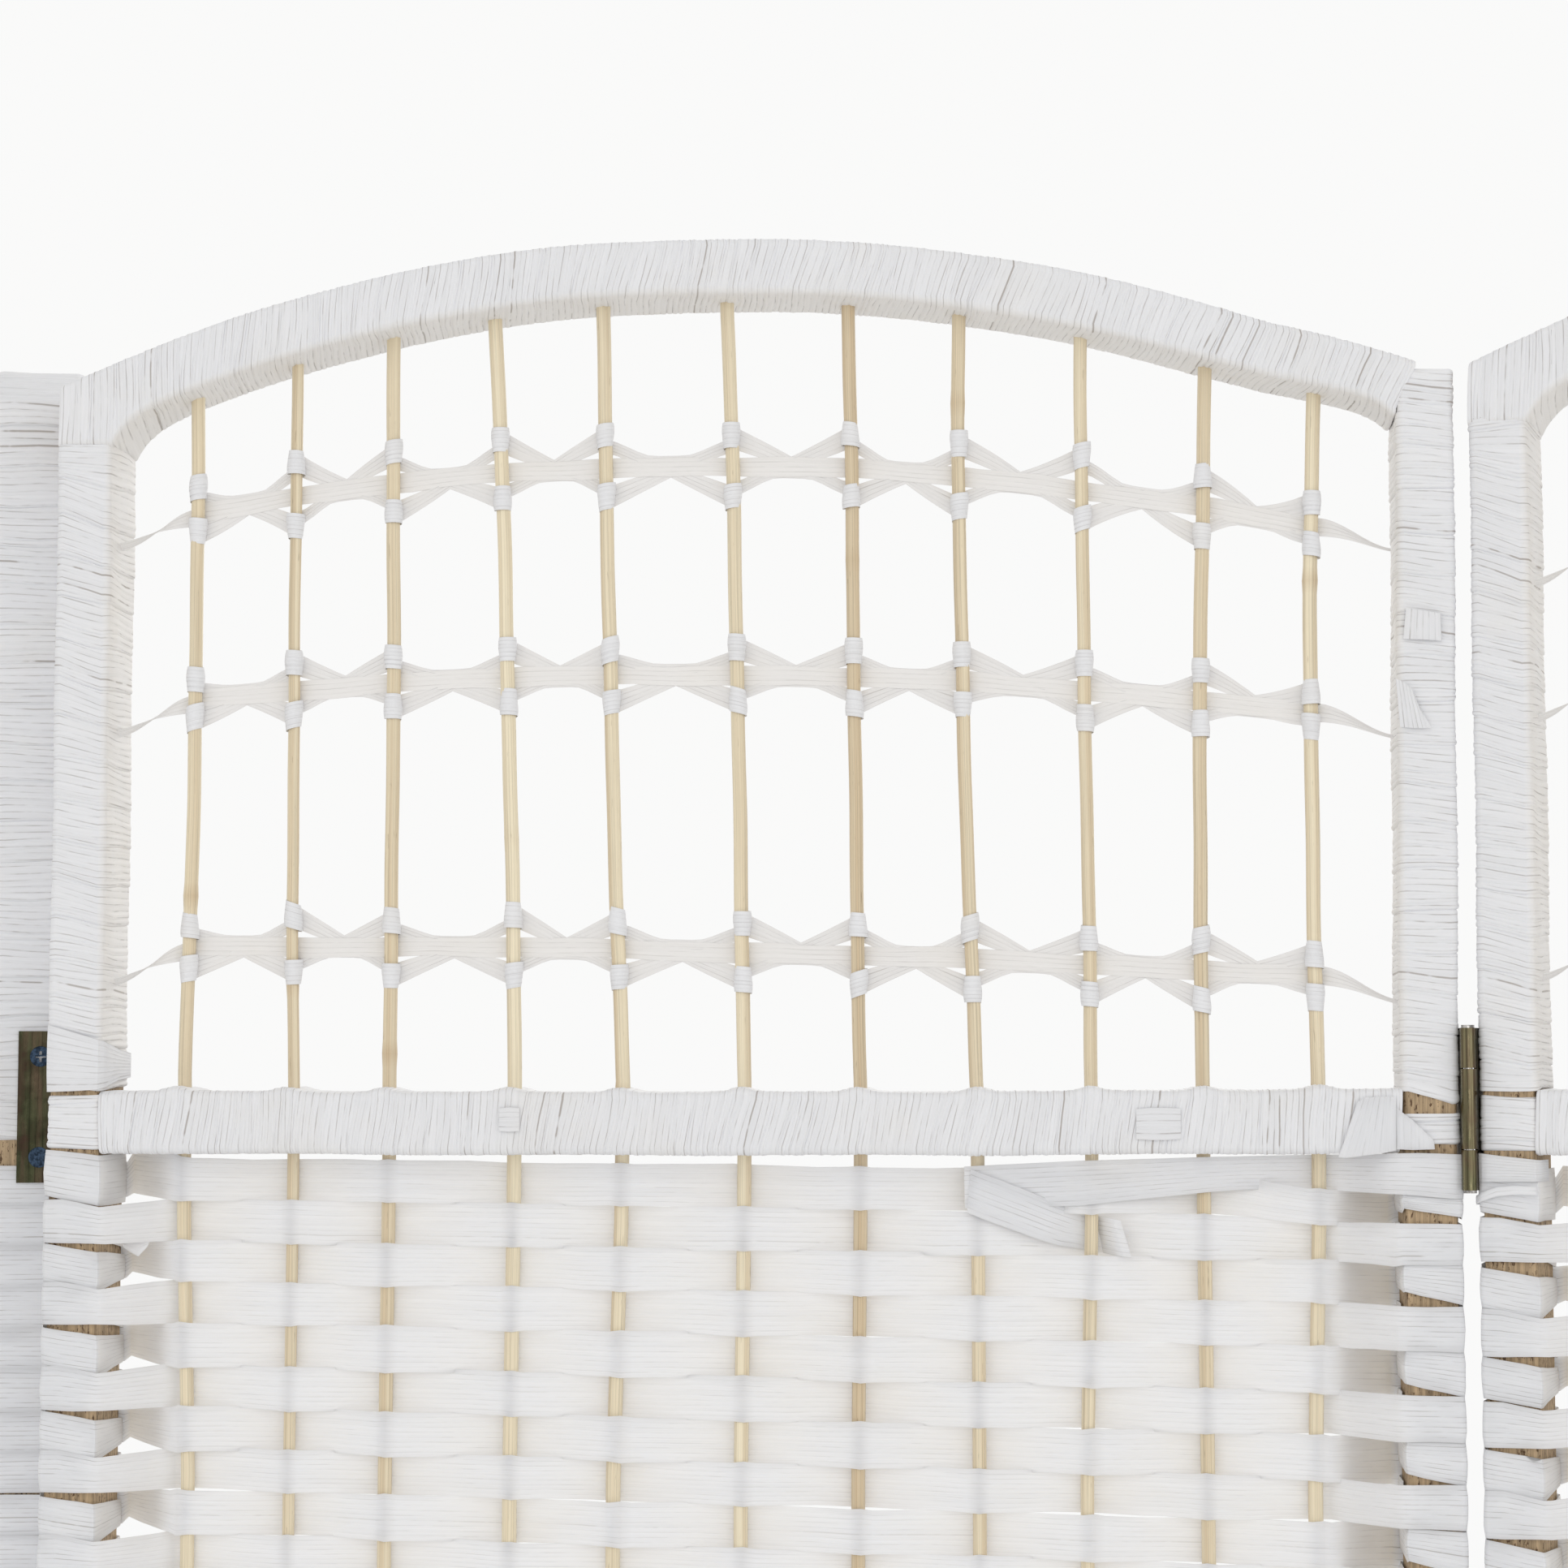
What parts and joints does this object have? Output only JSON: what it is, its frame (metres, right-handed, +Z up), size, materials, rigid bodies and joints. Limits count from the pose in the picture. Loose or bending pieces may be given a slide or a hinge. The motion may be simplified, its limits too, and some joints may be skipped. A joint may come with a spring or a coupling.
{
  "type": "folding screen",
  "caption": "Folding room divider: arched wooden frames wound in paper strand, bamboo rods, woven bands and hinges.",
  "frame": {"origin": "centre of the footprint as pictured, on the floor under the feet", "axes": "+Z up; the third panel stands along X and its front faces -Y"},
  "size_m": [1.3368, 0.553, 1.6999],
  "materials": {
    "paper_strand": "matte, wound strands",
    "paper_bands": "matte, flat strands",
    "paper_ribbon": "matte",
    "bamboo": "natural, satin",
    "bare_wood": "raw, planed",
    "zinc_plate": "yellow zinc plate",
    "screw_steel": "zinc plate",
    "steel": "plain"
  },
  "bodies": {
    "panel_1": {"panel_1_left_post": "bare_wood", "panel_1_right_post": "bare_wood", "panel_1_top_rail": "bare_wood", "panel_1_mid_rail": "bare_wood", "panel_1_bottom_rail": "bare_wood", "panel_1_rods": "bamboo", "panel_1_weave": "paper_bands", "panel_1_lattice_ribbons": "paper_ribbon", "panel_1_post_wraps": "paper_strand", "panel_1_rail_wraps": "paper_strand", "panel_1_frame_nails": "steel", "hinge_12_left_leaves": "zinc_plate", "hinge_12_pins": "zinc_plate", "hinge_12_left_screws": "screw_steel"},
    "panel_2": {"panel_2_left_post": "bare_wood", "panel_2_right_post": "bare_wood", "panel_2_top_rail": "bare_wood", "panel_2_mid_rail": "bare_wood", "panel_2_bottom_rail": "bare_wood", "panel_2_rods": "bamboo", "panel_2_weave": "paper_bands", "panel_2_lattice_ribbons": "paper_ribbon", "panel_2_post_wraps": "paper_strand", "panel_2_rail_wraps": "paper_strand", "panel_2_frame_nails": "steel", "hinge_12_right_leaves": "zinc_plate", "hinge_12_right_screws": "screw_steel", "hinge_23_left_leaves": "zinc_plate", "hinge_23_pins": "zinc_plate", "hinge_23_left_screws": "screw_steel"},
    "panel_3": {"panel_3_left_post": "bare_wood", "panel_3_right_post": "bare_wood", "panel_3_top_rail": "bare_wood", "panel_3_mid_rail": "bare_wood", "panel_3_bottom_rail": "bare_wood", "panel_3_rods": "bamboo", "panel_3_weave": "paper_bands", "panel_3_lattice_ribbons": "paper_ribbon", "panel_3_post_wraps": "paper_strand", "panel_3_rail_wraps": "paper_strand", "panel_3_frame_nails": "steel", "hinge_23_right_leaves": "zinc_plate", "hinge_23_right_screws": "screw_steel", "hinge_34_left_leaves": "zinc_plate", "hinge_34_pins": "zinc_plate", "hinge_34_left_screws": "screw_steel"},
    "panel_4": {"panel_4_left_post": "bare_wood", "panel_4_right_post": "bare_wood", "panel_4_top_rail": "bare_wood", "panel_4_mid_rail": "bare_wood", "panel_4_bottom_rail": "bare_wood", "panel_4_rods": "bamboo", "panel_4_weave": "paper_bands", "panel_4_lattice_ribbons": "paper_ribbon", "panel_4_post_wraps": "paper_strand", "panel_4_rail_wraps": "paper_strand", "panel_4_frame_nails": "steel", "hinge_34_right_leaves": "zinc_plate", "hinge_34_right_screws": "screw_steel"}
  },
  "joints": [
    {"name": "fold_23", "type": "hinge", "parent": "panel_3", "child": "panel_2", "pos_m": [-0.13059, -0.13559, 1.4517], "axis": [0, 0, -1], "range_deg": [-75, 105]},
    {"name": "fold_12", "type": "hinge", "parent": "panel_2", "child": "panel_1", "pos_m": [-0.26631, 0.24651, 1.4517], "axis": [0, 0, 1], "range_deg": [-75, 105]},
    {"name": "fold_34", "type": "hinge", "parent": "panel_3", "child": "panel_4", "pos_m": [0.27361, -0.16779, 1.4517], "axis": [0, 0, -1], "range_deg": [-16, 164]}
  ]
}
